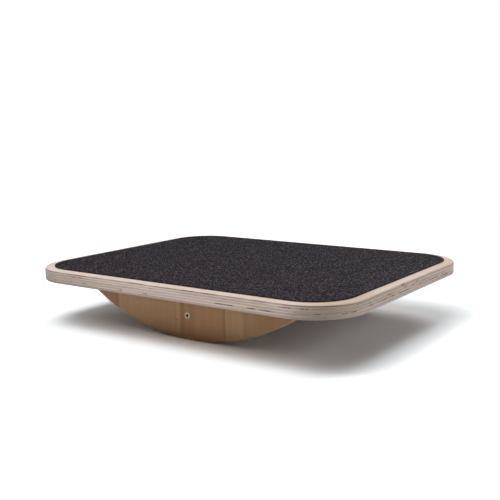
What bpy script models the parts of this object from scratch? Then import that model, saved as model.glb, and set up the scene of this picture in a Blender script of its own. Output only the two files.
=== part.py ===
"""Wooden rocker board: a plywood deck with a grip mat, carried by two curved rockers on edge.

The board's long side lies along X, its short side along Y, and Z points up.
The origin is on the floor, under the middle of the board. All sizes are in metres.
"""

from math import asin, cos, pi, radians, sin, sqrt

import bmesh
import bpy
from mathutils import Matrix

# Deck
DECK_LENGTH = 0.4445
DECK_WIDTH = 0.3430
DECK_THICKNESS = 0.0150
DECK_CORNER_RADIUS = 0.0600
DECK_TOP_ROUND = 0.0030
DECK_BOTTOM_ROUND = 0.0010

# Grip mat on the deck
MAT_BORDER = 0.0120
MAT_THICKNESS = 0.0012

# Rockers
ROCKER_RADIUS = 0.2700
ROCKER_DEPTH = 0.0572
ROCKER_THICKNESS = 0.0150
ROCKER_SETBACK = 0.0490
ROCKER_TIP_HEIGHT = 0.0040
ROCKER_EDGE_ROUND = 0.0008

# Round spreader rail between the rockers
SPREADER_DIAMETER = 0.0250
SPREADER_DROP = 0.0290

# Countersunk wood screws, all of one size
SCREW_LENGTH = 0.0350
SCREW_HEAD_DIAMETER = 0.0070
SCREW_HEAD_RIM = 0.0003
SCREW_HEAD_SINK = 0.0002
SCREW_SHANK_DIAMETER = 0.0035
SCREW_POINT_LENGTH = 0.0060
DECK_SCREWS_PER_ROCKER = 4
DECK_SCREW_END_DISTANCE = 0.0500

# Clearance between touching pieces, and how far a cutter stands out of the face it cuts
FIT_GAP = 0.0003
CUT_OVERRUN = 0.0020

# Facets: the rocker's number is odd, so that its middle facet lies flat on the floor
ROCKER_ARC_FACETS = 61
CORNER_FACETS = 20
TOP_ROUND_FACETS = 4
SMALL_ROUND_FACETS = 2
SPREADER_FACETS = 48
SCREW_FACETS = 28

# Edges that turn by more than this are sharp, and the facets of an arc turn by less
SHARP_ANGLE = radians(30.0)

# Points nearer than this to each other, or to a level, count as being there
SAME_PLACE = 0.00003

# Heights and places that follow from the sizes above
DECK_UNDERSIDE_Z = ROCKER_DEPTH + FIT_GAP
DECK_TOP_Z = DECK_UNDERSIDE_Z + DECK_THICKNESS
SPREADER_Z = DECK_UNDERSIDE_Z - SPREADER_DROP
ROCKER_OUTER_Y = DECK_WIDTH / 2 - ROCKER_SETBACK
ROCKER_MIDDLE_Y = ROCKER_OUTER_Y - ROCKER_THICKNESS / 2
ROCKER_INNER_Y = ROCKER_OUTER_Y - ROCKER_THICKNESS
ARC_CENTRE_OVER_TIP = ROCKER_RADIUS - ROCKER_DEPTH + ROCKER_TIP_HEIGHT
ROCKER_HALF_LENGTH = sqrt(ROCKER_RADIUS ** 2 - ARC_CENTRE_OVER_TIP ** 2)

SIDES = {"front": -1, "back": 1}


def clear_scene():
    """Remove every object that the scene holds."""
    for obj in list(bpy.data.objects):
        bpy.data.objects.remove(obj, do_unlink=True)


def new_collection(name):
    """Make a collection in the scene."""
    collection = bpy.data.collections.new(name)
    bpy.context.scene.collection.children.link(collection)
    return collection


def linear(value):
    """Turn a display colour value into the linear value that a shader takes."""
    return value / 12.92 if value <= 0.04045 else ((value + 0.055) / 1.055) ** 2.4


def make_material(name, red, green, blue, roughness, metallic=0.0):
    """Make a Principled material from a display colour."""
    material = bpy.data.materials.new(name)
    material.use_nodes = True
    shader = material.node_tree.nodes["Principled BSDF"]
    shader.inputs["Base Color"].default_value = (linear(red), linear(green), linear(blue), 1.0)
    shader.inputs["Roughness"].default_value = roughness
    shader.inputs["Metallic"].default_value = metallic
    return material


def add_object(name, mesh, collection, parent, location=(0.0, 0.0, 0.0), rotation=(0.0, 0.0, 0.0)):
    """Put a mesh into the scene as a named, placed object."""
    obj = bpy.data.objects.new(name, mesh)
    collection.objects.link(obj)
    obj.parent = parent
    obj.location = location
    obj.rotation_euler = rotation
    return obj


def finish_mesh(bm, name, material):
    """Turn an edited shape into a mesh with smooth rounds and sharp corners."""
    mesh = bpy.data.meshes.new(name)
    bm.to_mesh(mesh)
    bm.free()
    mesh.shade_smooth()
    mesh.set_sharp_from_angle(angle=SHARP_ANGLE)
    mesh.materials.append(material)
    return mesh


def round_edges(bm, edges, radius, facets):
    """Round the given edges to a quarter circle."""
    bmesh.ops.bevel(bm, geom=edges, offset=radius, offset_type="OFFSET",
                    segments=facets, profile=0.5, affect="EDGES", clamp_overlap=True)


def rounded_plate(length, width, thickness, corner_radius):
    """Make a flat plate with round corners, centred on its own origin."""
    bm = bmesh.new()
    bmesh.ops.create_cube(bm, size=1.0, matrix=Matrix.Diagonal((length, width, thickness, 1.0)))
    corner_edges = [edge for edge in bm.edges if edge.verts[0].co.z * edge.verts[1].co.z < 0.0]
    round_edges(bm, corner_edges, corner_radius, CORNER_FACETS)
    return bm


def rim_edges(bm, height):
    """Find the edges around a plate's face at the given height."""
    rim = []
    for edge in bm.edges:
        on_face = all(abs(vert.co.z - height) < SAME_PLACE for vert in edge.verts)
        if on_face and edge.calc_face_angle(0.0) > SHARP_ANGLE:
            rim.append(edge)
    return rim


def make_deck(collection, parent, material):
    """Make the plywood deck, rounded over at the top and eased underneath."""
    bm = rounded_plate(DECK_LENGTH, DECK_WIDTH, DECK_THICKNESS, DECK_CORNER_RADIUS)
    round_edges(bm, rim_edges(bm, DECK_THICKNESS / 2), DECK_TOP_ROUND, TOP_ROUND_FACETS)
    round_edges(bm, rim_edges(bm, -DECK_THICKNESS / 2), DECK_BOTTOM_ROUND, SMALL_ROUND_FACETS)
    mesh = finish_mesh(bm, "deck", material)
    centre = (0.0, 0.0, DECK_UNDERSIDE_Z + DECK_THICKNESS / 2)
    return add_object("deck", mesh, collection, parent, centre)


def make_mat(collection, parent, material):
    """Make the grip mat, set in from the deck's edge by an even border."""
    bm = rounded_plate(DECK_LENGTH - 2 * MAT_BORDER, DECK_WIDTH - 2 * MAT_BORDER,
                       MAT_THICKNESS, DECK_CORNER_RADIUS - MAT_BORDER)
    mesh = finish_mesh(bm, "grip_mat", material)
    centre = (0.0, 0.0, DECK_TOP_Z + FIT_GAP + MAT_THICKNESS / 2)
    return add_object("grip_mat", mesh, collection, parent, centre)


def rocker_outline():
    """Return the rocker's outline seen from the front: its arc, then its two top corners."""
    half_angle = asin(ROCKER_HALF_LENGTH / ROCKER_RADIUS)
    facet_angle = 2 * half_angle / ROCKER_ARC_FACETS
    centre_z = ROCKER_RADIUS * cos(facet_angle / 2)
    outline = []
    for step in range(ROCKER_ARC_FACETS + 1):
        angle = step * facet_angle - half_angle
        outline.append((ROCKER_RADIUS * sin(angle), centre_z - ROCKER_RADIUS * cos(angle)))
    outline.append((ROCKER_HALF_LENGTH, ROCKER_DEPTH))
    outline.append((-ROCKER_HALF_LENGTH, ROCKER_DEPTH))
    return outline


def flat_board(outline, thickness):
    """Cut a board of even thickness to a closed outline, drawn in X and Y."""
    curve = bpy.data.curves.new("board_outline", "CURVE")
    curve.dimensions = "2D"
    curve.fill_mode = "BOTH"
    curve.extrude = thickness / 2
    spline = curve.splines.new("POLY")
    spline.points.add(len(outline) - 1)
    for point, (x, y) in zip(spline.points, outline):
        point.co = (x, y, 0.0, 1.0)
    spline.use_cyclic_u = True
    drawing = bpy.data.objects.new("board_outline", curve)
    bpy.context.scene.collection.objects.link(drawing)
    evaluated = drawing.evaluated_get(bpy.context.evaluated_depsgraph_get())
    mesh = bpy.data.meshes.new_from_object(evaluated)
    bm = bmesh.new()
    bm.from_mesh(mesh)
    bmesh.ops.remove_doubles(bm, verts=bm.verts, dist=SAME_PLACE)
    bpy.data.meshes.remove(mesh)
    bpy.data.objects.remove(drawing, do_unlink=True)
    bpy.data.curves.remove(curve)
    return bm


def make_rocker_mesh(material):
    """Make a rocker lying on its face, with all edges eased but those against the deck."""
    bm = flat_board(rocker_outline(), ROCKER_THICKNESS)
    eased = []
    for edge in bm.edges:
        on_top = all(abs(vert.co.y - ROCKER_DEPTH) < SAME_PLACE for vert in edge.verts)
        if not on_top and edge.calc_face_angle(0.0) > SHARP_ANGLE:
            eased.append(edge)
    round_edges(bm, eased, ROCKER_EDGE_ROUND, SMALL_ROUND_FACETS)
    return finish_mesh(bm, "rocker", material)


def make_spreader(collection, parent, material):
    """Make the round rail whose ends meet the rockers' inner faces."""
    radius = SPREADER_DIAMETER / 2
    bm = bmesh.new()
    bmesh.ops.create_cone(bm, cap_ends=True, segments=SPREADER_FACETS, radius1=radius,
                          radius2=radius, depth=2 * (ROCKER_INNER_Y - FIT_GAP))
    mesh = finish_mesh(bm, "spreader", material)
    return add_object("spreader", mesh, collection, parent,
                      (0.0, 0.0, SPREADER_Z), (pi / 2, 0.0, 0.0))


def profile_mesh(name, profile):
    """Make a mesh of one open line of points, given as radius and depth below the head."""
    mesh = bpy.data.meshes.new(name)
    verts = [(radius, 0.0, -depth) for radius, depth in profile]
    edges = [(index, index + 1) for index in range(len(verts) - 1)]
    mesh.from_pydata(verts, edges, [])
    return mesh


def screw_mesh(material):
    """Draw half of a screw: flat head, 90 degree cone, shank and point."""
    head = SCREW_HEAD_DIAMETER / 2
    shank = SCREW_SHANK_DIAMETER / 2
    cone_end = SCREW_HEAD_RIM + head - shank
    profile = [(0.0, 0.0), (head, 0.0), (head, SCREW_HEAD_RIM), (shank, cone_end),
               (shank, SCREW_LENGTH - SCREW_POINT_LENGTH), (0.0, SCREW_LENGTH)]
    mesh = profile_mesh("screw_profile", profile)
    mesh.materials.append(material)
    return mesh


def hole_mesh():
    """Draw half of the hole that a screw sits in, wider than the screw by the fit gap all round."""
    head = SCREW_HEAD_DIAMETER / 2 + FIT_GAP
    shank = SCREW_SHANK_DIAMETER / 2 + FIT_GAP
    cone_start = SCREW_HEAD_RIM + FIT_GAP * (sqrt(2.0) - 1.0)
    cone_end = cone_start + head - shank
    bottom = SCREW_LENGTH + FIT_GAP
    profile = [(0.0, -CUT_OVERRUN), (head, -CUT_OVERRUN), (head, cone_start), (shank, cone_end),
               (shank, bottom), (0.0, bottom)]
    return profile_mesh("hole_profile", profile)


def turn(obj):
    """Turn a profile about its own Z axis into a round solid."""
    screw = obj.modifiers.new("turned", "SCREW")
    screw.axis = "Z"
    screw.angle = 2 * pi
    screw.screw_offset = 0.0
    screw.steps = SCREW_FACETS
    screw.render_steps = SCREW_FACETS
    screw.use_merge_vertices = True
    screw.merge_threshold = 0.00001
    screw.use_smooth_shade = True


def screw_places():
    """Return each screw's name, the middle of its head, and its turn from pointing down."""
    places = []
    outermost = ROCKER_HALF_LENGTH - DECK_SCREW_END_DISTANCE
    pitch = 2 * outermost / (DECK_SCREWS_PER_ROCKER - 1)
    for side, sign in SIDES.items():
        for number in range(DECK_SCREWS_PER_ROCKER):
            head = (number * pitch - outermost, sign * ROCKER_MIDDLE_Y, DECK_TOP_Z - SCREW_HEAD_SINK)
            places.append((f"deck_screw_{side}_{number + 1}", head, (0.0, 0.0, 0.0)))
        head = (0.0, sign * (ROCKER_OUTER_Y - SCREW_HEAD_SINK), SPREADER_Z)
        places.append((f"spreader_screw_{side}", head, (-sign * pi / 2, 0.0, 0.0)))
    return places


def bore(obj, holes):
    """Cut the screw holes out of a piece."""
    cut = obj.modifiers.new("screw_holes", "BOOLEAN")
    cut.operation = "DIFFERENCE"
    cut.operand_type = "COLLECTION"
    cut.collection = holes
    cut.solver = "EXACT"


def main():
    clear_scene()
    pieces = new_collection("wooden_balance_board")
    holes = new_collection("screw_holes")

    birch = make_material("birch_plywood", 0.80, 0.71, 0.66, 0.55)
    beech = make_material("rocker_face_veneer", 0.66, 0.51, 0.38, 0.50)
    dowel = make_material("spreader_hardwood", 0.74, 0.60, 0.46, 0.55)
    grit = make_material("grip_mat_grit", 0.23, 0.21, 0.23, 0.90)
    steel = make_material("plated_steel", 0.80, 0.78, 0.72, 0.30, 1.0)

    board = bpy.data.objects.new("board", None)
    pieces.objects.link(board)

    deck = make_deck(pieces, board, birch)
    make_mat(pieces, board, grit)
    spreader = make_spreader(pieces, board, dowel)
    rocker_mesh = make_rocker_mesh(beech)
    rockers = []
    for side, sign in SIDES.items():
        place = (0.0, sign * ROCKER_MIDDLE_Y, 0.0)
        rockers.append(add_object(f"rocker_{side}", rocker_mesh, pieces, board,
                                  place, (pi / 2, 0.0, 0.0)))

    screw = screw_mesh(steel)
    hole = hole_mesh()
    for name, head, rotation in screw_places():
        turn(add_object(name, screw, pieces, board, head, rotation))
        cutter = add_object(f"hole_of_{name}", hole, holes, board, head, rotation)
        cutter.hide_render = True
        cutter.display_type = "WIRE"
        turn(cutter)
    for obj in [deck, spreader, *rockers]:
        bore(obj, holes)


main()
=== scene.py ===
"""Finished look of a wooden rocker board: plywood deck, grit mat, rockers, rail and screws."""

from contextlib import contextmanager
from math import hypot, pi, radians

import bmesh
import bpy
import numpy as np
from mathutils import Matrix, Vector


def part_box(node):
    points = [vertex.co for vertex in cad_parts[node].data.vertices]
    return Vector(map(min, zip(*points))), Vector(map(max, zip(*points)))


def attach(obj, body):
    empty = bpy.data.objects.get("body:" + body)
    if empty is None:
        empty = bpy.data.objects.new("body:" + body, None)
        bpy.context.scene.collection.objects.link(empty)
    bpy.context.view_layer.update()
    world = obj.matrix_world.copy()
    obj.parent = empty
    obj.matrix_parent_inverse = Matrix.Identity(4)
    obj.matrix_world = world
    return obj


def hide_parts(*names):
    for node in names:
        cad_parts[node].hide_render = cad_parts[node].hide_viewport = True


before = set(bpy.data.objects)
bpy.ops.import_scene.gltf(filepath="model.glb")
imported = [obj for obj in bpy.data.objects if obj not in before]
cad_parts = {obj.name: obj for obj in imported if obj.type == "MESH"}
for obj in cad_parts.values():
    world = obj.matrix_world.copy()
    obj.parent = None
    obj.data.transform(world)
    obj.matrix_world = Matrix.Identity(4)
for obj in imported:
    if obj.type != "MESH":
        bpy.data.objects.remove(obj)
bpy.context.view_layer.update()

bl_info = {
    "name": "Rocker board",
    "version": (1, 0, 0),
    "blender": (4, 5, 0),
    "location": "3D View > Sidebar > Rocker board",
    "description": "Models and finishes a wooden rocker board around its fixed frame",
    "category": "Object",
}

BODY = "root"
DECK_LOW, DECK_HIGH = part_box("deck")
MAT_LOW, MAT_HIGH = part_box("grip_mat")
ROCKER_LOW, ROCKER_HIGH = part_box("rocker_front")
SCREW_LOW, SCREW_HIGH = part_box("deck_screw_front_1")
HEAD_RADIUS = (SCREW_HIGH.x - SCREW_LOW.x) / 2
SCREW_LENGTH = SCREW_HIGH.z - SCREW_LOW.z
SMALLEST_GAP = 0.00001           # points that stand nearer than this are one point
SMOOTH_ANGLE = radians(35.0)     # an edge that turns less than this is shaded smooth
CORNER_SEGMENTS = 40
ROUND_SEGMENTS = 8
EASE_SEGMENTS = 4
END_SEGMENTS = 3


def length(name, description, default):
    """A length in the scene's own unit."""
    return bpy.props.FloatProperty(name=name, description=description, default=default,
                                   min=0.0, unit="LENGTH", precision=5)


def count(name, description, default):
    """A whole number of pieces, facets or turns."""
    return bpy.props.IntProperty(name=name, description=description, default=default, min=1)


def factor(name, description, default):
    """A plain number without a unit."""
    return bpy.props.FloatProperty(name=name, description=description, default=default, min=0.0)


def angle(name, description, degrees):
    """An angle, given here in degrees."""
    return bpy.props.FloatProperty(name=name, description=description,
                                   default=radians(degrees), subtype="ANGLE")


def triple(name, description, *default, **more):
    """Three numbers, such as a place."""
    return bpy.props.FloatVectorProperty(name=name, description=description, size=3,
                                         default=default, **more)


def colour(name, description, *default):
    """A linear colour."""
    return triple(name, description, *default, subtype="COLOR", min=0.0, max=1.0)


class DeckSettings(bpy.types.PropertyGroup):
    """Sizes and colours of the plywood deck."""

    corner_radius: length("Corner radius", "Radius of the deck's upright corners", 0.060)
    top_round: length("Top edge round", "Radius of the round along the upper edge", 0.003)
    bottom_round: length("Bottom edge round", "Radius of the ease along the lower edge", 0.001)
    ply_count: count("Plies", "Number of veneers glued into the sheet", 9)
    face_ply: length("Face ply", "Thickness of the upper veneer", 0.0018)
    core_ply: length("Core ply", "Thickness of each veneer below it", 0.00149)
    first_line: length("First line", "Depth of the dark line under the face veneer", 0.0014)
    glue_line: length("Glue line", "Half height of the dark line between two plies", 0.00016)
    face: colour("Face veneer", "Colour of the bare wood around the mat", 0.64, 0.517, 0.450)
    flush: colour("Flush", "Warm patches in the face veneer", 0.625, 0.455, 0.338)
    side_grain: colour("Side grain", "Plies that are cut along their grain", 0.90, 0.755, 0.675)
    end_grain: colour("End grain", "Plies that are cut across their grain", 0.745, 0.595, 0.505)
    stain: colour("Stain", "Warm patches along the cut plies", 0.71, 0.525, 0.405)
    glue: colour("Glue", "Colour of the glue lines between the plies", 0.17, 0.084, 0.052)
    gap: colour("Core gap", "Colour inside the core gaps", 0.065, 0.034, 0.022)
    first_glue: colour("First glue line", "Colour of the line under the face veneer",
                       0.225, 0.125, 0.080)
    brown_glue: colour("Brown glue", "Colour of glue lines and gaps on the right side",
                       0.120, 0.048, 0.018)


class MatSettings(bpy.types.PropertyGroup):
    """Sizes and colours of the grit mat."""

    grit_pitch: length("Grit pitch", "Distance between neighbouring grains", 0.00122)
    grit_height: length("Grit height", "How far a grain stands out of the film", 0.00042)
    binder: colour("Binder", "Dark film between the grains", 0.0026, 0.0016, 0.0025)
    grain: colour("Grain", "Common dark grain", 0.0135, 0.0093, 0.0136)
    fleck: colour("Fleck", "Rare pale grain", 0.115, 0.120, 0.160)
    warm_fleck: colour("Warm fleck", "Rare reddish grain", 0.160, 0.122, 0.135)


class RockerSettings(bpy.types.PropertyGroup):
    """Sizes and colours of the two rockers."""

    arc_radius: length("Arc radius", "Radius of the curve that rolls on the floor", 0.270)
    edge_round: length("Edge round", "Radius of the ease along the curved edge", 0.0011)
    arc_facets: count("Arc facets", "Sides of the full circle that the arc is cut from", 720)
    ply_count: count("Plies", "Number of veneers glued into a rocker", 9)
    pale: colour("Pale veneer", "Pale strips of the face veneer", 0.76, 0.48, 0.258)
    warm: colour("Warm veneer", "Reddish strips of the face veneer", 0.70, 0.37, 0.178)
    vein: colour("Vein", "Thin dark lines in the grain", 0.24, 0.125, 0.065)
    # Painted shade: the darker, browner colour that the rocker turns towards near the floor
    floor_shade: colour("Worn veneer", "Wood near the floor, darkened by use", 0.32, 0.155, 0.045)
    # The ease colour is partly the ply edge's own pale wood and partly a painted highlight where
    # the ease catches the light
    ease: colour("Sanded ease", "Pale wood where the edge is sanded", 0.90, 0.72, 0.57)


class SpreaderSettings(bpy.types.PropertyGroup):
    """Sizes and colours of the round rail between the rockers."""

    end_ease: length("End ease", "Width of the bevel around each end", 0.0008)
    facets: count("Facets", "Sides around the rail", 96)
    wood: colour("Wood", "Colour of the hardwood", 0.52, 0.36, 0.22)
    pore: colour("Pore", "Short dark flecks along the grain", 0.27, 0.16, 0.09)


class ScrewSettings(bpy.types.PropertyGroup):
    """Sizes and colour of the countersunk cross-head wood screws."""

    clearance: length("Clearance", "Gap around a screw in its hole", 0.0003)
    hole_radius: length("Hole radius", "Radius of the hole for the thread", 0.00205)
    head_rim: length("Head rim", "Height of the upright rim around the head", 0.0003)
    core_radius: length("Core radius", "Radius of the plain shank below the head", 0.00122)
    thread_radius: length("Thread radius", "Radius over the crest of the thread", 0.00172)
    thread_pitch: length("Thread pitch", "Rise of the thread in one turn", 0.0016)
    thread_start: length("Thread start", "Distance from the head to the first turn", 0.0120)
    thread_end: length("Thread end", "Distance from the last turn to the tip", 0.0012)
    point_length: length("Point length", "Length of the tapered point", 0.006)
    recess_span: length("Recess span", "Width across the cross recess", 0.0060)
    recess_wing: length("Recess wing", "Thickness of one wing of the cross", 0.0023)
    recess_depth: length("Recess depth", "Depth of the cross recess", 0.0020)
    facets: count("Facets", "Sides around the screw", 48)
    steel: colour("Plated steel", "Colour of the plating", 0.51, 0.44, 0.32)
    # Painted shade: the dark colour inside the drive recess
    painted_recess_shade: colour("Recess steel", "Dull dark steel inside the recess", 0.035, 0.028, 0.020)


class StudioSettings(bpy.types.PropertyGroup):
    """Camera, floor and lamps."""

    lens: factor("Lens", "Focal length in millimetres on a 36 mm wide picture", 55.33)
    camera_place: triple("Camera place", "Where the camera stands", 0.5600, -0.7770, 0.2420,
                         subtype="TRANSLATION")
    camera_turn: angle("Camera turn", "Turn of the camera about the upright axis", 35.662)
    camera_pitch: angle("Camera pitch", "How far the camera looks down", 9.170)
    camera_roll: angle("Camera roll", "Turn of the camera about its own line of sight", -1.017)
    floor_size: length("Floor size", "Width of the floor", 40.0)
    floor_fade: length("Floor fade", "Distance at which the lit floor fades to plain white", 0.70)
    floor_seen: triple("Floor seen", "Colour that the camera sees on the lit floor",
                       1.41, 1.46, 1.49)
    floor_bounce: factor("Floor bounce", "Share of light that the floor gives back", 0.50)
    lamp_power: factor("Lamp power", "Power of all softboxes together, in watts", 60.0)


GROUPS = {
    "board_deck": DeckSettings,
    "board_mat": MatSettings,
    "board_rocker": RockerSettings,
    "board_spreader": SpreaderSettings,
    "board_screw": ScrewSettings,
    "board_studio": StudioSettings,
}


class Value:
    """A number on a socket. Arithmetic on it adds the Math nodes that it needs."""

    def __init__(self, graph, socket):
        self.graph = graph
        self.socket = socket

    def __add__(self, other):
        return self.graph.math("ADD", self, other)

    def __sub__(self, other):
        return self.graph.math("SUBTRACT", self, other)

    def __rsub__(self, other):
        return self.graph.math("SUBTRACT", other, self)

    def __mul__(self, other):
        return self.graph.math("MULTIPLY", self, other)

    __radd__ = __add__
    __rmul__ = __mul__

    def __truediv__(self, other):
        return self.graph.math("DIVIDE", self, other)

    def __lt__(self, other):
        return self.graph.math("LESS_THAN", self, other)

    def __pow__(self, other):
        return self.graph.math("POWER", self, other)

    def __abs__(self):
        return self.graph.math("ABSOLUTE", self)

    def sibling(self, name):
        """Another output of the same node."""
        return Value(self.graph, self.socket.node.outputs[name])


class Graph:
    """The nodes of a new material, or of a world."""

    def __init__(self, name, world=False):
        self.owner = (bpy.data.worlds if world else bpy.data.materials).new(name)
        self.owner.use_nodes = True
        self.tree = self.owner.node_tree
        self.shader = next(node for node in self.tree.nodes if node.outputs)

    def node(self, kind, settings=None, inputs=None, output=0):
        """Make a node, set it up, feed its sockets and return one output."""
        made = self.tree.nodes.new(kind)
        for name, value in (settings or {}).items():
            setattr(made, name, value)
        for name, value in (inputs or {}).items():
            self.feed(made.inputs[name], value)
        return Value(self, made.outputs[output])

    def feed(self, socket, value):
        """Link a value to a socket, or write a number, colour or vector on it."""
        if isinstance(value, Value):
            self.tree.links.new(value.socket, socket)
        elif socket.type == "RGBA":
            socket.default_value = (*value, 1.0)
        else:
            socket.default_value = value

    def math(self, operation, *values):
        """Make a Math node."""
        return self.node("ShaderNodeMath", {"operation": operation}, dict(enumerate(values)))

    def largest(self, first, *others):
        """The largest of some numbers."""
        for other in others:
            first = self.math("MAXIMUM", first, other)
        return first

    def place(self, scale=(1.0, 1.0, 1.0), offset=(0.0, 0.0, 0.0)):
        """Object coordinates, moved and then stretched."""
        point = self.node("ShaderNodeTexCoord", output="Object")
        return self.node("ShaderNodeMapping", inputs={"Vector": point, "Location": offset,
                                                      "Scale": scale})

    def split(self, vector):
        """The X, Y and Z of a vector."""
        made = self.node("ShaderNodeSeparateXYZ", inputs={"Vector": vector})
        return [made.sibling(axis) for axis in "XYZ"]

    def noise(self, scale, offset=(0.0, 0.0, 0.0), detail=3.0, roughness=0.5):
        """Noise from 0 to 1, stretched by a scale for each axis, in waves to the metre."""
        inputs = {"Vector": self.place(scale, offset), "Scale": 1.0, "Detail": detail,
                  "Roughness": roughness}
        return self.node("ShaderNodeTexNoise", inputs=inputs)

    def step(self, value, low, high):
        """Rise smoothly from 0 at low to 1 at high."""
        return self.node("ShaderNodeMapRange", {"interpolation_type": "SMOOTHSTEP"},
                         {"Value": value, "From Min": low, "From Max": high})

    def mix(self, share, first, second):
        """Blend two colours."""
        return self.node("ShaderNodeMix", {"data_type": "RGBA"},
                         {0: share, 6: first, 7: second}, output=2)

    def shade(self, tint, share):
        """Multiply a colour by a number."""
        return self.node("ShaderNodeVectorMath", {"operation": "SCALE"},
                         {0: tint, "Scale": share})

    def spot(self, across, along, middle, reach):
        """Distance from the middle of an oval, squared, which is 1 on the oval itself."""
        return ((across - middle[0]) / reach[0]) ** 2.0 + ((along - middle[1]) / reach[1]) ** 2.0

    def finish(self, base, roughness, relief, height, strength, **constants):
        """Feed the surface, with its relief as a bump, and return the material."""
        normal = self.node("ShaderNodeBump", inputs={"Height": relief, "Distance": height,
                                                     "Strength": strength})
        surface = {"Base_Color": base, "Roughness": roughness, "Normal": normal, **constants}
        for name, value in surface.items():
            self.feed(self.shader.inputs[name.replace("_", " ")], value)
        return self.owner

    def seen(self):
        """1 for rays that the camera, a gloss or a clear piece sends out, and 0 for the rest."""
        path = self.node("ShaderNodeLightPath")
        return self.largest(*(path.sibling(f"Is {sender} Ray")
                              for sender in ("Camera", "Glossy", "Transmission")))


# Core gaps that show as dark dashes: depth below the top, and where they run along the edge.
# A third number makes a run fainter.
GAP_ROWS = (
    (0.0013, ((0.034, 0.050), (0.064, 0.071), (0.338, 0.347))),
    (0.0040, ((-0.135, -0.131), (-0.125, -0.118), (-0.011, -0.008), (0.159, 0.172),
              (0.180, 0.189), (0.343, 0.352), (0.376, 0.383))),
    (0.0041, ((0.193, 0.214, 0.45),)),
    (0.0061, ((0.262, 0.267), (0.305, 0.315), (0.366, 0.374))),
    (0.0088, ((0.175, 0.190, 0.35), (0.205, 0.218, 0.45))),
    (0.0089, ((0.194, 0.201), (0.261, 0.271), (0.292, 0.302), (0.313, 0.321), (0.331, 0.359),
              (0.384, 0.391), (0.414, 0.440))),
    (0.0099, ((-0.118, -0.113), (0.080, 0.104), (0.122, 0.130), (0.137, 0.150),
              (0.223, 0.229), (0.233, 0.240), (0.453, 0.470))),
    (0.0113, ((-0.172, -0.167), (-0.060, -0.054), (-0.020, -0.015))),
)
GAP_SOFTNESS = 0.0012
GAP_HALF_HEIGHT = 0.00064
GAP_RAGGEDNESS = 0.0007
EDGE_START = -0.26
EDGE_LENGTH = 0.76


def edge_place(graph, x, y, facing_x, facing_y, radius):
    """Distance along the deck's edge: X along the front, then on round the right corner."""
    turn = graph.math("ARCTAN2", facing_x, 0.0 - facing_y)
    front = graph.math("MINIMUM", x, DECK_HIGH.x - radius)
    right = graph.largest(y - (DECK_LOW.y + radius), 0.0)
    return front + turn * radius + right


def core_gaps(graph, along, depth):
    """Mask of the dark core gaps on the front and right of the deck."""
    position = (along - EDGE_START) / EDGE_LENGTH
    rows = []
    for level, runs in GAP_ROWS:
        row = graph.node("ShaderNodeValToRGB", inputs={"Fac": position})
        # A new ramp runs from black to white, and only its black start is kept
        stops = row.socket.node.color_ramp.elements
        stops.remove(stops[1])
        for start, end, *faint in runs:
            share = faint[0] if faint else 1.0
            for place, shade in ((start - GAP_SOFTNESS, 0.0), (start + GAP_SOFTNESS, share),
                                 (end - GAP_SOFTNESS, share), (end + GAP_SOFTNESS, 0.0)):
                stop = stops.new((place - EDGE_START) / EDGE_LENGTH)
                stop.color = (shade, shade, shade, 1.0)
        rows.append(row * graph.step(abs(depth - level), GAP_HALF_HEIGHT, 0.4 * GAP_HALF_HEIGHT))
    return graph.largest(*rows)


# Where the deck's tone changes: from the first place to the second, along X or, at the rear, Y
FRONT_LEFT = (-0.17, -0.03)
LEFT_TIP = (-0.185, -0.212)
RIGHT_BORDER = (0.195, 0.215)
REAR = (-0.02, 0.17)
# Depths below the top, from the first to the second, where painted shade comes in on the side:
# under the top round, and along the lowest plies
TOP_ROUND = (0.0036, 0.0016)
LOWEST_PLIES = (0.0122, 0.0132)
# The warm patch at the front right corner: its middle, and its reach along X and Y
CORNER_PATCH = ((0.202, -0.122), (0.044, 0.056))
PLY_WANDER = 0.0004                 # how far a ply strays up and down
FIRST_LINE_FADE = (0.0010, 0.0004)  # distances at which the first glue line ends and is full


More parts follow.
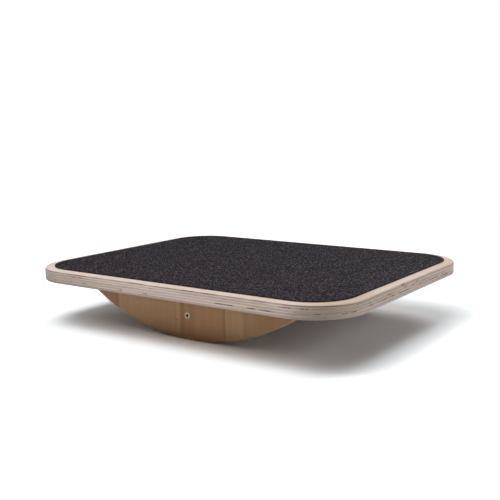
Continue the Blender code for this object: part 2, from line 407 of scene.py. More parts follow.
def cut_plies(graph, settings, place, facing):
    """The deck's side: its colour, its relief and where it is cut across the grain."""
    x, y, z = place
    facing_x, facing_y, _ = facing
    front = facing_y * facing_y
    right = graph.largest(facing_x, 0.0)
    bend = abs(facing_x * facing_y)
    depth = DECK_HIGH.z - z
    wander = (graph.noise((22.0, 22.0, 0.0), detail=1.0) - 0.5) * PLY_WANDER
    layer = graph.largest((depth + wander - settings.face_ply) / settings.core_ply, -0.5)
    layer = graph.math("MINIMUM", layer, settings.ply_count - 1.5)
    parity = graph.math("PINGPONG", graph.math("FLOOR", layer) + 1.0, 1.0)
    parity = graph.largest(parity, layer < 0.0)
    across = front * (1.0 - parity) + facing_x * facing_x * parity

    # Each ply's own tone, with warm patches and rough end grain
    long_grain = graph.noise((60.0, 60.0, 2600.0), detail=4.0, roughness=0.6)
    cut_grain = graph.noise((900.0, 900.0, 700.0), offset=(0.3, 0.1, 0.7), detail=4.0,
                            roughness=0.7)
    tone = graph.noise((11.0, 11.0, 560.0), offset=(0.9, 0.2, 0.4), detail=2.0)
    stain = graph.noise((16.0, 16.0, 90.0), offset=(0.1, 0.6, 0.3))
    calm = graph.noise((14.0, 14.0, 230.0), offset=(0.2, 0.9, 0.5), detail=1.0)
    calm = graph.step(calm, 0.36, 0.62)
    open_grain = graph.step(across, 0.05, 0.60) * (0.70 + 0.30 * calm)
    side = graph.mix(open_grain, settings.side_grain, settings.end_grain)
    # The stain also comes in on faces that look right, and, as painted shade, in the corners
    warm = graph.step(stain, 0.52, 0.75) * 0.30 + 0.22 * right + 0.30 * bend
    side = graph.mix(warm, side, settings.stain)
    side = graph.shade(side, 0.765 + 0.22 * long_grain + 0.22 * tone)
    side = graph.shade(side, 1.0 - 0.20 * open_grain * graph.step(cut_grain, 0.42, 0.75))

    # Painted shade and light that follow the side's facing and depth, and a darker tone towards
    # the front's left end
    left_third = 0.30 * graph.step(x, *FRONT_LEFT) - 0.19
    # Painted light: the side is lighter where it looks right
    lift = 0.03 * right + 0.33 * bend * right ** 4.0
    # Painted shade in the corners, and the front's tone darker towards its left end
    side = graph.shade(side, 1.0 - 0.75 * bend * front + front * left_third + lift)
    # Painted shade under the top round on the right, and along the lowest plies
    side = graph.shade(side, 1.0 - 0.20 * right * graph.step(depth, *TOP_ROUND))
    side = graph.shade(side, 1.0 - 0.12 * graph.step(depth, *LOWEST_PLIES))

    # Glue lines, core gaps and short dark fibres
    seam = abs(graph.math("FRACT", layer + 0.5) - 0.5) * settings.core_ply
    broken = graph.step(graph.noise((35.0, 35.0, 300.0), detail=2.0), 0.30, 0.62)
    glue = graph.step(seam, settings.glue_line, 0.3 * settings.glue_line)
    glue = glue * ((0.08 + 0.70 * broken) * (0.30 + 1.10 * calm) + 0.14 * right)
    ragged = graph.noise((420.0,) * 3, roughness=0.7)
    along = edge_place(graph, x, y, facing_x, facing_y, settings.corner_radius)
    gaps = core_gaps(graph, along, depth + (ragged - 0.5) * GAP_RAGGEDNESS)
    gaps = gaps * graph.step(ragged, 0.30, 0.52) * graph.step(facing_y, 0.5, 0.0)
    fibre = graph.noise((95.0, 95.0, 900.0), offset=(0.5, 0.5, 0.1), roughness=0.65)
    fibres = graph.step(fibre, 0.64, 0.72) * across * 0.55
    line = graph.step(abs(depth + wander * 0.5 - settings.first_line), *FIRST_LINE_FADE)
    line = line * graph.step(front, 0.08, 0.36) * (0.58 + 0.32 * broken)
    side = graph.mix(line, side, settings.first_glue)
    glue_tint = graph.mix(right, settings.glue, settings.brown_glue)
    side = graph.mix(graph.largest(glue, fibres), side, glue_tint)
    gap_tint = graph.mix(right, settings.gap, settings.brown_glue)
    side = graph.mix(gaps * 0.90, side, gap_tint)
    dark = graph.largest(glue, gaps, fibres)
    relief = long_grain * 0.5 + cut_grain * across * 0.5 - dark * 1.6
    return side, relief, across


def face_veneer(graph, settings, place, facing_z):
    """The deck's flat faces: their colour and the streaks in their grain."""
    x, y, _ = place
    streaks = graph.noise((620.0, 18.0, 1.0), detail=5.0, roughness=0.62)
    figure = graph.noise((70.0, 7.0, 1.0), offset=(0.4, 0.7, 0.0))
    flush = graph.noise((13.0, 9.0, 1.0), offset=(0.8, 0.1, 0.0), detail=2.0)
    pores = graph.step(graph.noise((2600.0, 95.0, 1.0), detail=2.0), 0.60, 0.74)
    border = graph.step(x, *RIGHT_BORDER)
    patch = graph.step(graph.spot(x, y, *CORNER_PATCH), 1.0, 0.2)
    rear = graph.step(y, *REAR) * border
    orange = graph.largest(rear, patch * 0.9, graph.step(flush, 0.50, 0.72) * 0.8)
    face = graph.mix(orange, settings.face, settings.flush)
    face = graph.shade(face, 0.86 + 0.18 * streaks + 0.10 * figure)
    dull = 0.05 * border + 0.12 * patch + 0.10 * rear + 0.16 * graph.step(x, *LEFT_TIP)
    # Painted shade: faces that look down are darker, which also darkens the floor's shadow under
    # the board
    face = graph.shade(face, 1.0 - dull - 0.25 * graph.step(facing_z, 0.0, -0.5))
    return graph.mix(pores * 0.20, face, settings.end_grain), streaks


def make_deck_material(settings):
    """Clear-lacquered plywood: face veneer above and below, banded plies along the side."""
    graph = Graph("birch_plywood")
    place = graph.split(graph.place())
    facing = graph.split(graph.node("ShaderNodeTexCoord", output="Normal"))
    side, relief, across = cut_plies(graph, settings, place, facing)
    face, streaks = face_veneer(graph, settings, place, facing[2])
    flat = graph.step(abs(facing[2]), 0.75, 0.99)
    base = graph.mix(flat, side, face)
    right, up = graph.largest(facing[0], 0.0), graph.largest(facing[2], 0.0)
    # Painted shade on the top round where it turns to the right
    base = graph.shade(base, 1.0 - 0.34 * right * up)
    relief = relief + streaks * flat * 0.5
    roughness = 0.46 + 0.16 * across + 0.10 * streaks
    return graph.finish(base, roughness, relief, 0.00012, 0.6, Specular_IOR_Level=0.35)


# Veneer strips across the front rocker's face: right end of the strip, share of warm wood, tone
ROCKER_STRIPS = ((-0.136, 0.85, 0.80), (-0.109, 0.90, 0.84), (-0.092, 0.35, 1.09),
                 (-0.060, 0.30, 1.11), (-0.017, 0.48, 1.13), (-0.011, 0.38, 1.15),
                 (-0.004, 0.98, 0.89), (0.012, 0.92, 1.03), (0.053, 0.75, 1.13),
                 (0.056, 0.90, 0.92), (0.079, 0.10, 1.17), (0.096, 0.55, 1.02),
                 (0.112, 0.75, 1.00), (0.136, 0.88, 0.99), (0.200, 0.85, 0.94))
STRIP_SOFTNESS = 0.0007
STRIP_WANDER = 0.004
# The knot in that face: its middle, and its reach along X and Z
KNOT = ((-0.0162, 0.0215), (0.0010, 0.0008))
# Heights above the floor between which painted shade comes in: under the deck at the top, and
# towards the floor at the bottom
UNDER_THE_DECK = (0.034, 0.046)
FLOOR_SHADE_HEIGHTS = (0.024, 0.001)
DEEP_FLOOR_SHADE_HEIGHTS = (0.010, 0.002)


def veneer_strips(graph, across):
    """How warm and how bright the rocker's face is, strip by strip."""
    _, warm, tone = ROCKER_STRIPS[0]
    for (edge, *_), (_, next_warm, next_tone) in zip(ROCKER_STRIPS, ROCKER_STRIPS[1:]):
        past = graph.step(across, edge - STRIP_SOFTNESS, edge + STRIP_SOFTNESS)
        warm = past * next_warm + (1.0 - past) * warm
        tone = past * next_tone + (1.0 - past) * tone
    return warm, tone


def make_rocker_material(settings, name, shift):
    """Rocker plywood: upright veneer strips on its faces, banded plies along its curved edge."""
    graph = Graph(name)
    x, y, z = graph.split(graph.place(offset=(shift, 0.0, 0.0)))
    turned = abs(graph.split(graph.node("ShaderNodeTexCoord", output="Normal"))[1])
    wander = (graph.noise((30.0, 1.0, 9.0), detail=1.0) - 0.5) * STRIP_WANDER
    warm, tone = veneer_strips(graph, x + wander)
    streaks = graph.noise((820.0, 1.0, 16.0), detail=5.0, roughness=0.65)
    figure = graph.noise((150.0, 1.0, 10.0), offset=(0.2, 0.0, 0.6))
    veins = graph.step(graph.noise((560.0, 1.0, 9.0), offset=(0.7, 0.0, 0.2)), 0.60, 0.72)
    knot = graph.step(graph.spot(x, z, *KNOT), 1.3, 0.3)
    face = graph.mix(warm, settings.pale, settings.warm)
    face = graph.shade(face, tone * (0.80 + 0.24 * streaks + 0.16 * figure))
    face = graph.mix(veins * 0.28, face, settings.vein)
    face = graph.mix(knot * 0.85, face, settings.vein)
    # Painted shade: the face is darker at the top, under the deck
    face = graph.shade(face, 1.0 - 0.15 * graph.step(z, *UNDER_THE_DECK))

    ply = (ROCKER_HIGH.y - ROCKER_LOW.y) / settings.ply_count
    layer = abs(y) / ply + (graph.noise((14.0, 0.0, 14.0), detail=1.0) - 0.5) * 0.3
    parity = graph.math("PINGPONG", graph.math("FLOOR", layer), 1.0)
    seam = graph.step(abs(graph.math("FRACT", layer + 0.5) - 0.5), 0.10, 0.04)
    cut_grain = graph.noise((500.0, 900.0, 500.0), detail=4.0, roughness=0.7)
    edge = graph.mix(parity, settings.pale, settings.warm)
    edge = graph.shade(edge, 0.95 + 0.40 * cut_grain)
    edge = graph.mix(seam * 0.5, edge, settings.vein)
    # Pale ease: partly the ply edge's own colour, partly a painted highlight where the edge turns
    edge = graph.mix(0.50 + 0.50 * graph.step(turned, 0.05, 0.25), edge, settings.ease)

    on_face = graph.step(turned, 0.90, 0.985)
    on_edge = 1.0 - on_face
    # Painted shade towards the floor: face and edge turn darker and browner near the bottom
    floor_shade = graph.step(z, *FLOOR_SHADE_HEIGHTS) * 0.60 + graph.step(z, *DEEP_FLOOR_SHADE_HEIGHTS) * 0.30
    base = graph.mix(floor_shade, graph.mix(on_face, edge, face), settings.floor_shade)
    relief = (streaks * 0.6 - veins * 0.3) * on_face - knot * 1.5 + cut_grain * on_edge
    roughness = 0.44 + 0.14 * streaks + 0.12 * on_edge
    return graph.finish(base, roughness, relief, 0.00010, 0.5, Specular_IOR_Level=0.40)


def make_spreader_material(settings):
    """Turned hardwood with its grain along the rail."""
    graph = Graph("spreader_hardwood")
    streaks = graph.noise((700.0, 14.0, 700.0), detail=5.0, roughness=0.6)
    rings = graph.noise((190.0, 5.0, 190.0), offset=(0.3, 0.2, 0.5), detail=2.0)
    flecks = graph.step(graph.noise((1700.0, 240.0, 1700.0), detail=2.0), 0.62, 0.72)
    base = graph.shade(settings.wood, 0.78 + 0.26 * streaks + 0.18 * rings)
    base = graph.mix(flecks * 0.55, base, settings.pore)
    return graph.finish(base, 0.48 + 0.14 * streaks, streaks * 0.5 - flecks, 0.00008, 0.5,
                        Specular_IOR_Level=0.40)


def make_mat_material(settings):
    """Mineral grit in a dark binder: each grain has its own shade and gloss."""
    graph = Graph("mat_grit")
    place = graph.place((920.0,) * 3)
    cells = graph.node("ShaderNodeTexVoronoi", inputs={"Vector": place, "Scale": 1.0})
    distance = cells.sibling("Distance")
    red, green, blue = graph.split(cells.sibling("Color"))
    fine = graph.noise((3200.0,) * 3, roughness=0.6)
    broad = graph.noise((26.0,) * 3)
    grain = graph.mix(graph.step(red, 0.15, 0.85), settings.binder, settings.grain)
    fleck = graph.mix(graph.step(blue, 0.35, 0.65), settings.fleck, settings.warm_fleck)
    grain = graph.mix(graph.step(green, 0.84, 0.96) * 0.85, grain, fleck)
    # Painted light: the mat is paler towards the front right corner
    x, y, _ = graph.split(graph.place())
    level = 1.04 + 0.60 * x - 0.55 * y
    grain = graph.shade(grain, level * (0.62 + 0.45 * fine + 0.34 * broad))
    grain = graph.mix(graph.step(distance, 0.42, 0.62) * 0.5, grain, settings.binder)
    roughness = 0.88 - 0.42 * graph.step(blue, 0.72, 0.98)
    relief = (1.0 - distance) * (0.5 + 0.5 * red) + fine * 0.35
    return graph.finish(grain, roughness, relief, 0.00035, 0.9, Specular_IOR_Level=0.08)


def make_screw_material(settings):
    """Bright plated steel with faint turning marks."""
    graph = Graph("plated_steel")
    marks = graph.noise((2400.0,) * 3, detail=2.0)
    cloud = graph.noise((500.0,) * 3, detail=2.0)
    base = graph.shade(settings.steel, 0.84 + 0.26 * cloud)
    return graph.finish(base, 0.30 + 0.18 * marks, marks, 0.00002, 0.3, Metallic=1.0)


def make_recess_material(settings):
    """Dark steel in the drive recess: painted shade, with a faint mottle."""
    graph = Graph("recess_steel")
    mottle = graph.noise((3000.0,) * 3, detail=2.0)
    base = graph.shade(settings.painted_recess_shade, 0.60 + 0.80 * mottle)
    return graph.finish(base, 0.62 + 0.25 * mottle, mottle, 0.00002, 0.3)


def make_floor_material(settings):
    """White floor: lit paper around the board that fades to plain white, for the camera alone."""
    graph = Graph("studio_floor")
    seen = graph.seen()
    level = graph.mix(seen, (settings.floor_bounce,) * 3, settings.floor_seen)
    paper = graph.node("ShaderNodeBsdfDiffuse", inputs={"Color": level})
    white = graph.node("ShaderNodeEmission", inputs={"Color": (1.0, 1.0, 1.0), "Strength": 1.0})
    x, y, _ = graph.split(graph.place())
    distance = graph.math("SQRT", x * x + y * y)
    far = graph.step(distance, settings.floor_fade, 1.6 * settings.floor_fade) * seen
    blend = graph.node("ShaderNodeMixShader", inputs={0: far, 1: paper, 2: white})
    output = next(node for node in graph.tree.nodes if node.type == "OUTPUT_MATERIAL")
    graph.tree.links.new(blend.socket, output.inputs["Surface"])
    graph.tree.nodes.remove(graph.shader)
    return graph.owner


def pick(obj):
    """Select one object alone and make it the active one."""
    bpy.ops.object.select_all(action="DESELECT")
    obj.select_set(True)
    bpy.context.view_layer.objects.active = obj


def added(name):
    """Name the object that was just added, and return it."""
    obj = bpy.context.active_object
    obj.name = name
    return obj


@contextmanager
def editing(obj):
    """Edit one object, with all of its mesh selected at the start."""
    pick(obj)
    bpy.ops.object.mode_set(mode="EDIT")
    bpy.ops.mesh.select_all(action="SELECT")
    yield
    bpy.ops.object.mode_set(mode="OBJECT")


def select(obj, kind, wanted):
    """In edit mode, select the edges or faces that a test accepts."""
    bpy.ops.mesh.select_mode(type=kind)
    bpy.ops.mesh.select_all(action="DESELECT")
    mesh = bmesh.from_edit_mesh(obj.data)
    for item in mesh.edges if kind == "EDGE" else mesh.faces:
        item.select_set(wanted(item))
    bmesh.update_edit_mesh(obj.data)


def bevel(obj, wanted, width, segments):
    """In edit mode, round the edges that a test accepts."""
    select(obj, "EDGE", wanted)
    bpy.ops.mesh.bevel(offset=width, segments=segments, affect="EDGES")


def face_outwards():
    """In edit mode, turn every face outwards."""
    bpy.ops.mesh.select_all(action="SELECT")
    bpy.ops.mesh.normals_make_consistent(inside=False)


def settle(obj):
    """Move an object's place, turn and size into its mesh."""
    pick(obj)
    bpy.ops.object.transform_apply(location=True, rotation=True, scale=True)


def smooth(obj):
    """Shade an object smooth, with its corners sharp."""
    pick(obj)
    bpy.ops.object.shade_smooth_by_angle(angle=SMOOTH_ANGLE)


def add_block(name, low, high):
    """Add a box between two corners."""
    bpy.ops.mesh.primitive_cube_add(size=1.0, location=(Vector(low) + Vector(high)) / 2)
    obj = added(name)
    obj.scale = Vector(high) - Vector(low)
    settle(obj)
    return obj


def is_at(edge, height):
    """Whether an edge lies level at a height."""
    return all(abs(vert.co.z - height) < SMALLEST_GAP for vert in edge.verts)


def is_upright(edge):
    """Whether an edge runs up and down."""
    return abs(edge.verts[0].co.z - edge.verts[1].co.z) > SMALLEST_GAP


def is_corner(edge):
    """Whether the two faces at an edge meet at a clear angle."""
    return edge.calc_face_angle(0.0) > SMOOTH_ANGLE


def apply_boolean(obj, other, operation):
    """Combine two objects by a Boolean, applied at once, and remove the second."""
    modifier = obj.modifiers.new(operation.lower(), "BOOLEAN")
    modifier.operation = operation
    modifier.object = other
    pick(obj)
    bpy.ops.object.modifier_apply(modifier=modifier.name)
    bpy.data.objects.remove(other, do_unlink=True)


def add_wire(name, points, closed=False):
    """Add a line through points, given as radius and depth below the head."""
    bpy.ops.mesh.primitive_plane_add(size=1.0)
    wire = added(name)
    with editing(wire):
        bpy.ops.mesh.delete(type="VERT")
        mesh = bmesh.from_edit_mesh(wire.data)
        verts = [mesh.verts.new((radius, 0.0, -depth)) for radius, depth in points]
        for first, second in zip(verts, verts[1:] + verts[:1] if closed else verts[1:]):
            mesh.edges.new((first, second))
        bmesh.update_edit_mesh(wire.data)
    return wire


def add_turned(name, profile, facets):
    """Spin a line of points into a closed solid."""
    turned = add_wire(name, profile)
    with editing(turned):
        bpy.ops.mesh.spin(steps=facets, angle=2 * pi, center=(0.0, 0.0, 0.0), axis=(0.0, 0.0, 1.0))
        bpy.ops.mesh.select_all(action="SELECT")
        bpy.ops.mesh.remove_doubles(threshold=SMALLEST_GAP)
        face_outwards()
    return turned


def stand_copies(pattern, prefix):
    """Stand a copy of a screw or hole in the place of each screw, and remove the pattern."""
    copies = {}
    for node in sorted(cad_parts):
        if "screw" not in node:
            continue
        low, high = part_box(node)
        place = (low + high) / 2
        turn = 0.0
        if node.startswith("deck"):
            place.z = high.z
        elif place.y < 0.0:
            place.y, turn = low.y, pi / 2
        else:
            place.y, turn = high.y, -pi / 2
        copy = pattern.copy()
        copy.data = pattern.data.copy()
        copy.name = prefix + node
        bpy.context.scene.collection.objects.link(copy)
        copy.location = place
        copy.rotation_euler = (turn, 0.0, 0.0)
        settle(copy)
        copies[node] = copy
    bpy.data.objects.remove(pattern, do_unlink=True)
    return copies


HOLE_REACH = 0.002     # how far a hole's cutter stands out of the surface
CONE_SHARE = 0.4       # share of the clearance by which a hole's cone starts below the head's


def bore(obj, settings):
    """Cut the holes of all screws out of a piece: countersink, clearance and pilot in one."""
    head, shank = HEAD_RADIUS + settings.clearance, settings.hole_radius
    cone = settings.head_rim + CONE_SHARE * settings.clearance
    bottom = SCREW_LENGTH + settings.clearance
    profile = [(0.0, -HOLE_REACH), (head, -HOLE_REACH), (head, cone),
               (shank, cone + head - shank), (shank, bottom), (0.0, bottom)]
    pattern = add_turned("screw_hole", profile, settings.facets)
    holes = list(stand_copies(pattern, "hole_").values())
    pick(holes[0])
    for hole in holes:
        hole.select_set(True)
    bpy.ops.object.join()
    apply_boolean(obj, holes[0], "DIFFERENCE")


def dress(obj, materials, node):
    """Give a finished piece its materials, hang it on the board's empty and hide the frame node
    that it stands for.
    """
    while len(obj.data.materials) < len(materials):
        obj.data.materials.append(None)
    for index, material in enumerate(materials):
        obj.data.materials[index] = material
    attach(obj, BODY)
    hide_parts(node)


class BOARD_OT_deck(bpy.types.Operator):
    """Model the plywood deck with its round corners and rounded edge"""

    bl_idname = "board.deck"
    bl_label = "Deck"

    def execute(self, context):
        settings = context.scene.board_deck
        deck = add_block("plywood_deck", DECK_LOW, DECK_HIGH)
        with editing(deck):
            bevel(deck, is_upright, settings.corner_radius, CORNER_SEGMENTS)
            bevel(deck, lambda edge: is_corner(edge) and is_at(edge, DECK_HIGH.z),
                  settings.top_round, ROUND_SEGMENTS)
            bevel(deck, lambda edge: is_corner(edge) and is_at(edge, DECK_LOW.z),
                  settings.bottom_round, EASE_SEGMENTS)
        bore(deck, context.scene.board_screw)
        smooth(deck)
        dress(deck, [make_deck_material(settings)], "deck")
        return {"FINISHED"}


GRIT_SEED = 7
GRIT_WANDER = 0.28     # how far a grain strays from its place in the grid, as a share of the pitch
GRIT_POWER = 1.3       # above 1, there are more low grains than tall ones


def round_corners(points, half, radius):
    """Draw the corner squares of a grid in towards quarter circles."""
    over = np.maximum(np.abs(points) - (half - radius), 0.0)
    corner = over.min(axis=1) > 0.0
    over = over[corner]
    share = over.max(axis=1) / np.hypot(over[:, 0], over[:, 1])
    points[corner] = np.sign(points[corner]) * (half - radius + over * share[:, None])


class BOARD_OT_grip_mat(bpy.types.Operator):
    """Model the grit mat, with every grain standing out of its film"""

    bl_idname = "board.grip_mat"
    bl_label = "Grip mat"

    def execute(self, context):
        settings = context.scene.board_mat
        size = MAT_HIGH - MAT_LOW
        film_top = MAT_HIGH.z - settings.grit_height
        radius = context.scene.board_deck.corner_radius - (DECK_HIGH.x - MAT_HIGH.x)
        bpy.ops.mesh.primitive_grid_add(x_subdivisions=round(size.x / settings.grit_pitch),
                                        y_subdivisions=round(size.y / settings.grit_pitch),
                                        size=1.0, location=(0.0, 0.0, film_top))
        mat = added("grit_mat")
        mat.scale = (size.x, size.y, 1.0)
        settle(mat)
        points = np.empty(len(mat.data.vertices) * 3)
        mat.data.vertices.foreach_get("co", points)
        points = points.reshape(-1, 3)
        level = points[:, :2]
        half = np.array((size.x, size.y)) / 2
        inner = (half - np.abs(level) > SMALLEST_GAP).all(axis=1)
        round_corners(level, half, radius)
        draw = np.random.default_rng(GRIT_SEED)
        wander = draw.uniform(-GRIT_WANDER, GRIT_WANDER, level.shape) * settings.grit_pitch
        level += wander * inner[:, None]
        points[:, 2] += settings.grit_height * inner * draw.random(len(points)) ** GRIT_POWER
        mat.data.vertices.foreach_set("co", points.ravel())
        mat.data.update()
        with editing(mat):
            select(mat, "EDGE", lambda edge: edge.is_boundary)
            bpy.ops.mesh.extrude_region_move(
                TRANSFORM_OT_translate={"value": (0.0, 0.0, MAT_LOW.z - film_top)})
            bpy.ops.mesh.edge_face_add()
        dress(mat, [make_mat_material(settings)], "grip_mat")
        return {"FINISHED"}


def add_rocker(settings, name, node):
    """Cut a rocker from a round disc: a flat top, two short square ends and an eased curve."""
    low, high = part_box(node)
    bpy.ops.mesh.primitive_circle_add(vertices=settings.arc_facets, radius=settings.arc_radius,
                                      fill_type="NGON", location=(0.0, low.y, settings.arc_radius),
                                      rotation=(pi / 2, 0.0, 0.0))
    rocker = added(name)
    settle(rocker)
    with editing(rocker):
        for point, outward in (((0.0, 0.0, high.z), (0.0, 0.0, 1.0)),
                               ((high.x, 0.0, 0.0), (1.0, 0.0, 0.0)),
                               ((low.x, 0.0, 0.0), (-1.0, 0.0, 0.0))):
            bpy.ops.mesh.select_all(action="SELECT")
            bpy.ops.mesh.bisect(plane_co=point, plane_no=outward, clear_outer=True)
        bpy.ops.mesh.select_all(action="SELECT")
        bpy.ops.mesh.extrude_region_move(
            TRANSFORM_OT_translate={"value": (0.0, high.y - low.y, 0.0)})
        face_outwards()
        bevel(rocker, lambda edge: is_corner(edge) and not is_at(edge, high.z),
              settings.edge_round, EASE_SEGMENTS)
    return rocker


# The two rockers, and how far each one's veneer is shifted sideways
ROCKER_SHIFTS = (("front", 0.0), ("back", 0.031))


class BOARD_OT_rockers(bpy.types.Operator):
    """Model the two D-shaped rockers"""

    bl_idname = "board.rockers"
    bl_label = "Rockers"

    def execute(self, context):
        settings = context.scene.board_rocker
        for side, shift in ROCKER_SHIFTS:
            rocker = add_rocker(settings, f"rocker_board_{side}", f"rocker_{side}")
            bore(rocker, context.scene.board_screw)
            smooth(rocker)
            material = make_rocker_material(settings, f"rocker_veneer_{side}", shift)
            dress(rocker, [material], f"rocker_{side}")
        return {"FINISHED"}


class BOARD_OT_spreader(bpy.types.Operator):
    """Model the round rail between the rockers"""

    bl_idname = "board.spreader"
    bl_label = "Spreader"

    def execute(self, context):
        settings = context.scene.board_spreader
        low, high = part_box("spreader")
        bpy.ops.mesh.primitive_cylinder_add(vertices=settings.facets, radius=(high.x - low.x) / 2,
                                            depth=high.y - low.y, location=(low + high) / 2,
                                            rotation=(pi / 2, 0.0, 0.0))
        rail = added("spreader_rail")
        settle(rail)
        with editing(rail):
            bevel(rail, is_corner, settings.end_ease, END_SEGMENTS)
        bore(rail, context.scene.board_screw)
        smooth(rail)
        dress(rail, [make_spreader_material(settings)], "spreader")
        return {"FINISHED"}


# Shares of a recess wing's span and thickness that are left at its foot
WING_TAPER = (0.45, 0.80)
RECESS_MARGIN = 0.0002     # how far a face of the recess stays inside the head's cone
HEAD_EDGE = 0.0001         # bevel around the top of the head
RIDGE_SHARE = 0.30         # half the thread's foot, as a share of its pitch
RIDGE_SUNK = 0.00015       # how deep the thread's foot stands in the shank
THREAD_STEPS = 24
THREAD_TAPER = 0.12        # share of its width that the thread keeps at the tip
# The point's outline: share of the shank's radius, and share of the point that is left
POINT_OUTLINE = ((1.0, 1.0), (0.75, 0.5), (0.35, 0.15), (0.0, 0.0))


def add_recess_cutter(settings):
    """Make the tapered cross that presses the drive recess."""
    wings = []
    span, wing = settings.recess_span / 2, settings.recess_wing / 2
    for reach, taper in (((span, wing), WING_TAPER), ((wing, span), WING_TAPER[::-1])):
        block = add_block("recess_wing", (-reach[0], -reach[1], -settings.recess_depth),
                          (*reach, settings.recess_depth / 2))
        with editing(block):
            select(block, "FACE", lambda face: face.normal.z < -0.5)
            bpy.ops.transform.resize(value=(*taper, 1.0), center_override=(0.0, 0.0, 0.0))
        wings.append(block)
    apply_boolean(wings[0], wings[1], "UNION")
    return wings[0]


def mark_recess(screw, settings):
    """Give the faces of the drive recess the screw's second material slot."""
    for face in screw.data.polygons:
        middle = face.center
        cone = HEAD_RADIUS + settings.head_rim + middle.z - RECESS_MARGIN
        inside = -settings.recess_depth - SMALLEST_GAP < middle.z < -SMALLEST_GAP
        if inside and hypot(middle.x, middle.y) < min(cone, settings.recess_span / 2):
            face.material_index = 1


def add_thread(settings):
    """Wind the thread as one helical ridge that tapers towards the point."""
    start, pitch = settings.thread_start, settings.thread_pitch
    root = settings.core_radius - RIDGE_SUNK
    thread = add_wire("thread", ((root, start - RIDGE_SHARE * pitch),
                                 (settings.thread_radius, start),
                                 (root, start + RIDGE_SHARE * pitch)), closed=True)
    winding = thread.modifiers.new("winding", "SCREW")
    winding.axis = "Z"
    winding.angle = 2 * pi
    winding.screw_offset = -pitch
    winding.iterations = int((SCREW_LENGTH - start - settings.thread_end) / pitch)
    winding.steps = winding.render_steps = THREAD_STEPS
    winding.use_merge_vertices = False
    pick(thread)
    bpy.ops.object.modifier_apply(modifier=winding.name)
    for vert in thread.data.vertices:
        share = (vert.co.z + SCREW_LENGTH) / settings.point_length
        vert.co.xy *= min(max(share, THREAD_TAPER), 1.0)
    with editing(thread):
        select(thread, "EDGE", lambda edge: edge.is_boundary)
        bpy.ops.mesh.fill()
        face_outwards()
    return thread


def add_screw(settings):
    """Model one countersunk wood screw, head up at the origin and pointing down."""
    core, rim, point = settings.core_radius, settings.head_rim, settings.point_length
    profile = [(0.0, 0.0), (HEAD_RADIUS - HEAD_EDGE, 0.0), (HEAD_RADIUS, HEAD_EDGE),
               (HEAD_RADIUS, rim), (core, rim + HEAD_RADIUS - core)]
    profile += [(width * core, SCREW_LENGTH - left * point) for width, left in POINT_OUTLINE]
    screw = add_turned("wood_screw", profile, settings.facets)
    apply_boolean(screw, add_thread(settings), "UNION")
    apply_boolean(screw, add_recess_cutter(settings), "DIFFERENCE")
    with editing(screw):
        bpy.ops.mesh.remove_doubles(threshold=SMALLEST_GAP)
        bpy.ops.mesh.dissolve_degenerate(threshold=SMALLEST_GAP)
    screw.data.materials.append(None)
    screw.data.materials.append(None)
    mark_recess(screw, settings)
    smooth(screw)
    return screw


class BOARD_OT_screws(bpy.types.Operator):
    """Model one wood screw and set a copy in each of its places"""

    bl_idname = "board.screws"
    bl_label = "Screws"

    def execute(self, context):
        settings = context.scene.board_screw
        screws = stand_copies(add_screw(settings), "wood_")
        materials = [make_screw_material(settings), make_recess_material(settings)]
        for node, screw in screws.items():
            dress(screw, materials, node)
        return {"FINISHED"}


def add_lamp(context, name, place, target, width, power):
    """Add a square softbox that faces a target."""
    light = bpy.data.lights.new(name, "AREA")
    light.shape = "SQUARE"
    light.size = width
    light.energy = power
    lamp = bpy.data.objects.new(name, light)
    context.scene.collection.objects.link(lamp)
    lamp.location = place
    lamp.rotation_euler = (Vector(place) - Vector(target)).to_track_quat("Z", "Y").to_euler()


def set_camera(context, settings):
    """Stand the camera where the board was seen from."""
    optics = bpy.data.cameras.new("camera")
    optics.lens = settings.lens
    optics.sensor_width = 36.0
    optics.clip_end = 100.0
    camera = bpy.data.objects.new("camera", optics)
    context.scene.collection.objects.link(camera)
    camera.matrix_world = (Matrix.Translation(settings.camera_place)
                           @ Matrix.Rotation(settings.camera_turn, 4, "Z")
                           @ Matrix.Rotation(pi / 2 - settings.camera_pitch, 4, "X")
                           @ Matrix.Rotation(settings.camera_roll, 4, "Z"))
    context.scene.camera = camera


def set_world(context):
    """Stand the board in front of plain white, which lights nothing by itself."""
    graph = Graph("studio", world=True)
    context.scene.world = graph.owner
    graph.feed(graph.shader.inputs["Color"], (1.0, 1.0, 1.0))
    graph.feed(graph.shader.inputs["Strength"], graph.seen())


BOARD_MIDDLE = (0.0, 0.0, 0.05)
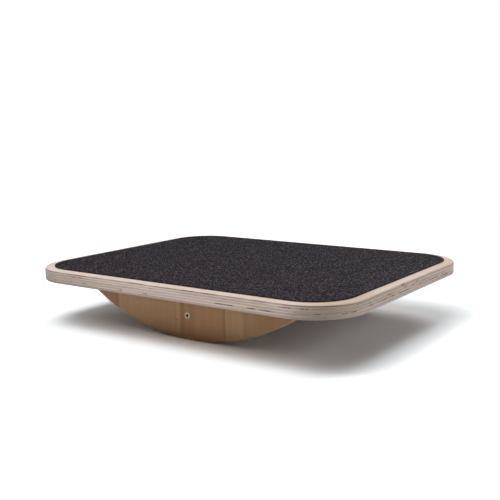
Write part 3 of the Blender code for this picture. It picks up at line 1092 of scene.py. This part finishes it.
# Softboxes: name, place, width and share of the total power. Those at the top face straight down,
# and the others face the board.
SOFTBOXES = (
    ("top_front", (0.0, -1.2, 1.5), 1.2, 0.147),
    ("top_middle", (0.0, 0.0, 1.5), 1.2, 0.125),
    ("high_front", (-0.373, -0.646, 1.6), 0.8, 0.134),
    ("high_left", (-1.313, -1.026, 1.5), 0.8, 0.081),
    ("high_back", (0.0, 1.666, 1.5), 0.8, 0.119),
    ("high_back_right", (0.570, 1.566, 1.5), 0.8, 0.147),
    ("low_right", (1.905, 1.1, 0.75), 1.1, 0.180),
    ("low_left", (-1.905, -1.1, 0.75), 1.1, 0.067),
)


class BOARD_OT_stage(bpy.types.Operator):
    """Set up the floor, the softboxes, the white surround and the camera"""

    bl_idname = "board.stage"
    bl_label = "Stage"

    def execute(self, context):
        settings = context.scene.board_studio
        set_camera(context, settings)
        set_world(context)
        bpy.ops.mesh.primitive_plane_add(size=settings.floor_size)
        floor = added("studio_floor")
        floor.data.materials.append(make_floor_material(settings))
        for name, place, width, share in SOFTBOXES:
            target = (*place[:2], 0.0) if name.startswith("top") else BOARD_MIDDLE
            add_lamp(context, name, place, target, width, share * settings.lamp_power)
        context.scene.view_settings.view_transform = "Standard"
        return {"FINISHED"}


OPERATORS = (BOARD_OT_stage, BOARD_OT_deck, BOARD_OT_grip_mat, BOARD_OT_rockers,
             BOARD_OT_spreader, BOARD_OT_screws)


class BOARD_PT_sidebar(bpy.types.Panel):
    """Lists the board's pieces in the 3D view's sidebar"""

    bl_idname = "BOARD_PT_sidebar"
    bl_label = "Rocker board"
    bl_space_type = "VIEW_3D"
    bl_region_type = "UI"
    bl_category = "Rocker board"

    def draw(self, context):
        for operator in OPERATORS:
            self.layout.operator(operator.bl_idname)


CLASSES = (*GROUPS.values(), *OPERATORS, BOARD_PT_sidebar)


def register():
    """Register the classes and hang each group of settings on the scene."""
    for cls in CLASSES:
        bpy.utils.register_class(cls)
    for name, group in GROUPS.items():
        setattr(bpy.types.Scene, name, bpy.props.PointerProperty(type=group))


def unregister():
    """Take the settings and the classes away again."""
    for name in GROUPS:
        delattr(bpy.types.Scene, name)
    for cls in reversed(CLASSES):
        bpy.utils.unregister_class(cls)


def main():
    """Make the whole board."""
    register()
    bpy.ops.board.stage()
    bpy.ops.board.deck()
    bpy.ops.board.grip_mat()
    bpy.ops.board.rockers()
    bpy.ops.board.spreader()
    bpy.ops.board.screws()
    bpy.context.view_layer.update()


if __name__ == "__main__":
    main()
